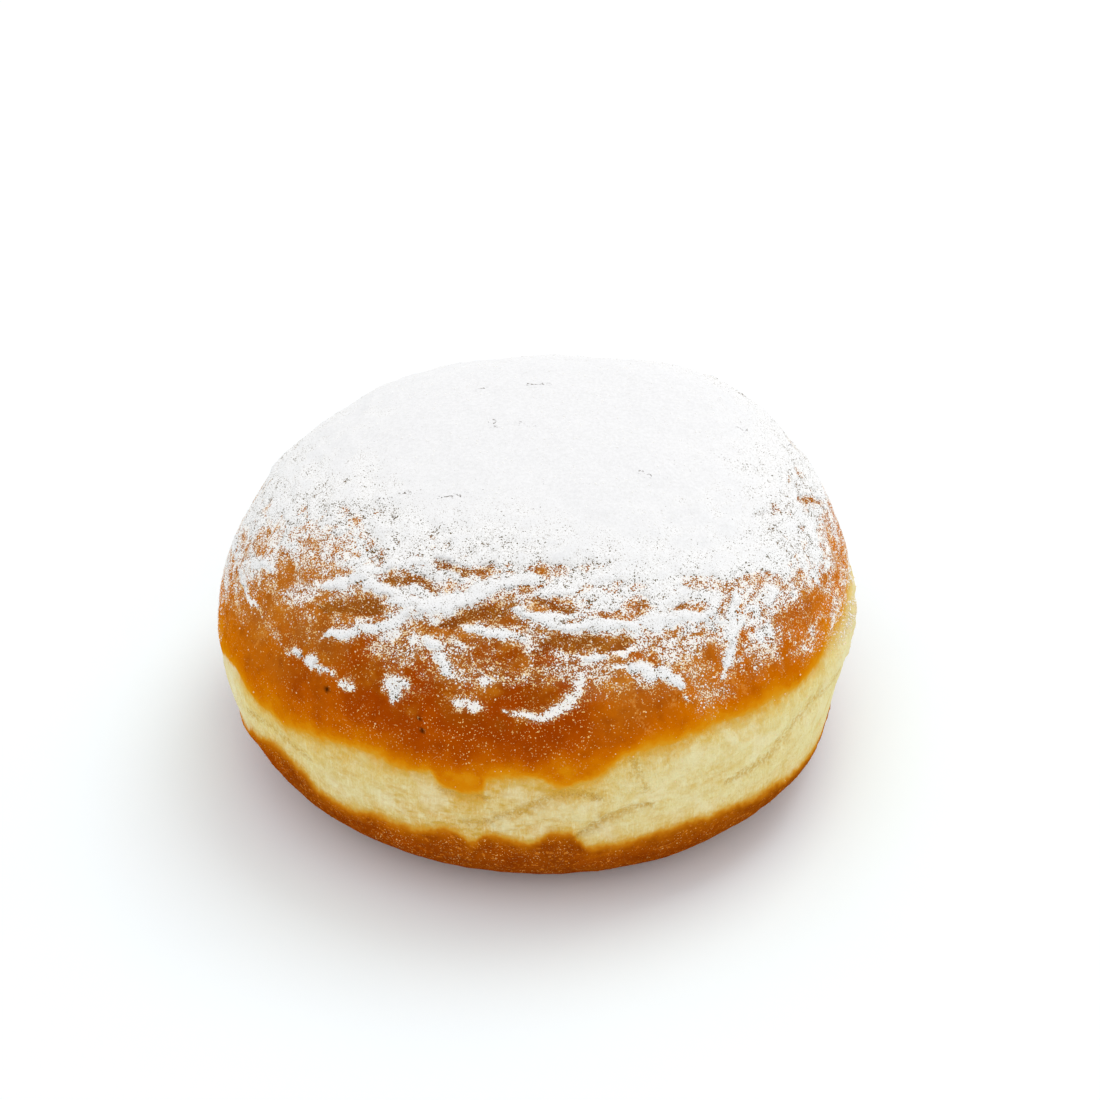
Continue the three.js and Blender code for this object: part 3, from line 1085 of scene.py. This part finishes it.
def fried_dough_finish():
    """Brown crust that pales through gold to the cream ring, and a film of sugar on top."""
    f = Finish("fried_dough", 0.4)
    wander = f.spread(f.grain(0.9, 3.0), 0.3, 0.7, -0.26, 0.26)
    soft = f.spread(f.grain(5.0, 2.0), 0.35, 0.65, 0.7, 1.5)
    above = f.times(f.plus(f.attribute("above_ring"), wander), soft)
    below = f.plus(f.times(f.attribute("below_ring"), 1.7), wander)
    on_crust = f.spread(above, 0.5, 3.0)
    under_crust = f.spread(below, 0.3, 2.0)
    in_ring = f.times(f.spread(above, 0.3, -0.6), f.spread(below, 0.3, -0.6))
    inner = f.times(f.spread(above, -0.2, -3.0), f.spread(below, -0.2, -1.8))
    # The crumb noise bumps the ring and is also painted on it as highlight
    crumb = f.spread(f.grain(0.25, 3.0, stretch=(1, 1, 1.8)), 0.38, 0.68)
    lines = fine_lines(f, "crease", 0.62, 0.42, 0.7)
    crust_tones(f, above, below)
    upper_crust_marks(f, above, on_crust)
    ring_marks(f, in_ring, inner, crumb)
    fold_marks(f, lines, in_ring, on_crust)
    freckled(f, below, on_crust)
    lower_crust_marks(f, under_crust)
    powdered_crust(f, on_crust)
    film = sugar_stipple(f)
    f.colour = f.blend(film, f.colour, f.ramp(f.attribute("powder"), toned(POWDER_FILM)))
    gloss = f.spread(in_ring, 0.0, 1.0, 0.4, 0.75)
    rough = f.spread(film, 0.0, 1.0, 0.0, 0.55)
    roughness = f.maths("MINIMUM", f.plus(gloss, rough), 0.95)
    pores = f.bump(f.grain(0.35, 3.0), 0.05, 0.6)
    crumbs = f.bump(f.times(f.maths("SUBTRACT", crumb, lines), in_ring), 0.1, 0.7, pores)
    skin = f.bump(f.grain(1.1, 2.0), 0.16, 0.5, crumbs)
    skin = f.bump(f.times(f.grain(0.7, 3.0), under_crust), 0.22, 0.7, skin)
    set_inputs(f.shader, {"Subsurface Weight": 0.05, "Subsurface Radius": (1.0, 0.55, 0.25)})
    set_inputs(f.shader, {"Subsurface Scale": 1.2 * MM, "Specular IOR Level": 0.0})
    return f.done(roughness, f.bump(film, 0.08, 0.7, skin))


def icing_sugar_finish():
    """Dry white powder, faintly mottled and painted whiter down its sides than on the crown to even out
    the lamp light, with grey dots of painted shade between its grains, and the crust, darkened with
    painted shade, showing between them where it is thin.
    """
    f = Finish("icing_sugar", 0.95)
    powder = f.attribute("powder")
    mottle = f.spots(0.5, 5.0, 0.3, 0.7)
    f.colour = f.ramp(mottle, [(0.0, tone(233, 233, 234)), (1.0, tone(240, 240, 241))])
    # Painted light: whiter where the coat thins down the sides than on the crown, evening out the lamp
    # light that falls more strongly on the crown
    f.lay((247, 247, 247), f.spread(powder, 1.35, 0.95))
    # Grey dots of painted shade between the grains, most where the coat thins
    painted_grain_shade = f.spots(0.17, 1.0, 0.5, 0.64)
    f.lay((176, 168, 156), painted_grain_shade, f.spread(powder, 1.25, 0.8, 0.08, 0.45))
    # Dark olive dots where the crust shows in small gaps, darkened with painted shade
    gaps = f.spots(0.21, 1.0, 0.63, 0.69)
    f.lay((112, 90, 62), gaps, f.spread(powder, 1.32, 1.0, 0.06, 1.0), 0.75)
    hidden = sugar_stipple(f)
    # Between the grains the crust shows, darkened with painted shade where the coat is thick
    f.colour = f.blend(hidden, f.ramp(powder, toned(CRUST_AND_SHADE_UNDER_COAT)), f.colour)
    cracks = fine_lines(f, "crack", 0.17, 0.5, 2.2)
    f.lay((98, 76, 46), cracks, 0.95)
    roughness = f.spread(mottle, 0.0, 1.0, 0.9, 1.0)
    set_inputs(f.shader, {"Specular IOR Level": 0.06})
    clods = f.bump(f.grain(0.28, 3.0), 0.07, 0.7)
    grit = f.bump(hidden, 0.08, 0.7, clods)
    return f.done(roughness, f.bump(f.maths("SUBTRACT", 1.0, cracks), 0.2, 0.8, grit))


def sugar_grain_finish():
    """White on the coat, and creamy where a lone grain has soaked up the oil of the crust."""
    f = Finish("sugar_grain", 0.8)
    shade = f.spots(0.5, 1.0, 0.3, 0.7)
    f.colour = f.ramp(shade, [(0.0, tone(244, 243, 240)), (1.0, tone(252, 251, 249))])
    f.lay((240, 200, 140), f.spread(f.attribute("powder"), 0.3, 0.0, 0.0, 0.85))
    roughness = f.spread(shade, 0.0, 1.0, 0.7, 0.9)
    set_inputs(f.shader, {"Specular IOR Level": 0.0})
    return f.done(roughness, f.bump(f.grain(0.1, 1.0), 0.01, 0.4))


# ---- studio

FLOOR_SIZE = 3.0
FLOOR_TINTS = [(0.3, (0.905, 0.955, 0.985, 1)), (0.7, (0.915, 0.965, 0.99, 1))]
FLOOR_GLOW = 0.03
LAMP_PLACE = Vector((0.34, 0.36, 0.87))
LAMP_AIM = Vector((0, 0, 0.02))
LAMP_SIZE = 0.55
LAMP_POWER = 2.3
SKY_STRENGTH = 0.93
CAMERA_ELEVATION = 35
CAMERA_DISTANCE = 0.45
CAMERA_AIM = Vector((0.00205, 0, 0.025))
CAMERA_LIFT = 0.00388
FRAME_WIDTH = 0.15784
SENSOR_WIDTH = 36


def studio():
    """A pale paper floor with a faint bluish painted glow, in an even white surround, with one soft lamp
    high behind on the right.
    """
    deselect()
    bpy.ops.mesh.primitive_plane_add(size=FLOOR_SIZE, location=(0, 0, 0))
    floor = bpy.context.object
    floor.name = "floor"
    paper = Finish("paper_floor", 0.9)
    paper.links.new(paper.ramp(paper.grain(60, 2.0), FLOOR_TINTS), paper.shader.inputs["Base Color"])
    # The floor glows faintly and a little bluish, painted light that lifts the shadows on it
    set_inputs(paper.shader, {"Specular IOR Level": 0.0, "Emission Color": (0.85, 0.96, 1.0, 1)})
    set_inputs(paper.shader, {"Emission Strength": FLOOR_GLOW})
    floor.data.materials.append(paper.material)
    world = bpy.data.worlds.new("bright_studio")
    world.use_nodes = True
    sky = {"Color": (1, 1, 1, 1), "Strength": SKY_STRENGTH}
    set_inputs(world.node_tree.nodes["Background"], sky)
    bpy.context.scene.world = world
    lamp()
    bpy.context.scene.view_settings.view_transform = "Standard"


def lamp():
    """A soft square lamp aimed at the doughnut."""
    turn = (LAMP_AIM - LAMP_PLACE).to_track_quat("-Z", "Y").to_euler()
    bpy.ops.object.light_add(type="AREA", location=LAMP_PLACE, rotation=turn)
    light = bpy.context.object
    light.name = "key"
    light.data.size = LAMP_SIZE
    light.data.energy = LAMP_POWER


def camera():
    """A camera in front, looking down on the doughnut."""
    elevation = math.radians(CAMERA_ELEVATION)
    back = Vector((0, -math.cos(elevation), math.sin(elevation)))
    up = Vector((0, math.sin(elevation), math.cos(elevation)))
    place = CAMERA_AIM + back * CAMERA_DISTANCE + up * CAMERA_LIFT
    bpy.ops.object.camera_add(location=place, rotation=(-back).to_track_quat("-Z", "Y").to_euler())
    view = bpy.context.object
    view.data.sensor_width = SENSOR_WIDTH
    view.data.lens = SENSOR_WIDTH * CAMERA_DISTANCE / FRAME_WIDTH
    bpy.context.scene.camera = view


# ---- the whole doughnut

def doughnut():
    dough = proved_dough()
    shape_side(dough)
    shape_crust(dough)
    lay_powder(dough)
    mark_cracks(dough)
    coat = sugar_coat(dough)
    grains = sugar_grains(dough, sugar_grain_finish())
    dough.data.materials.append(fried_dough_finish())
    coat.data.materials.append(icing_sugar_finish())
    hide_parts("dough")
    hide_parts("sugar_dusting")
    for piece in (dough, coat, *grains):
        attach(piece, "root")


camera()
studio()
doughnut()
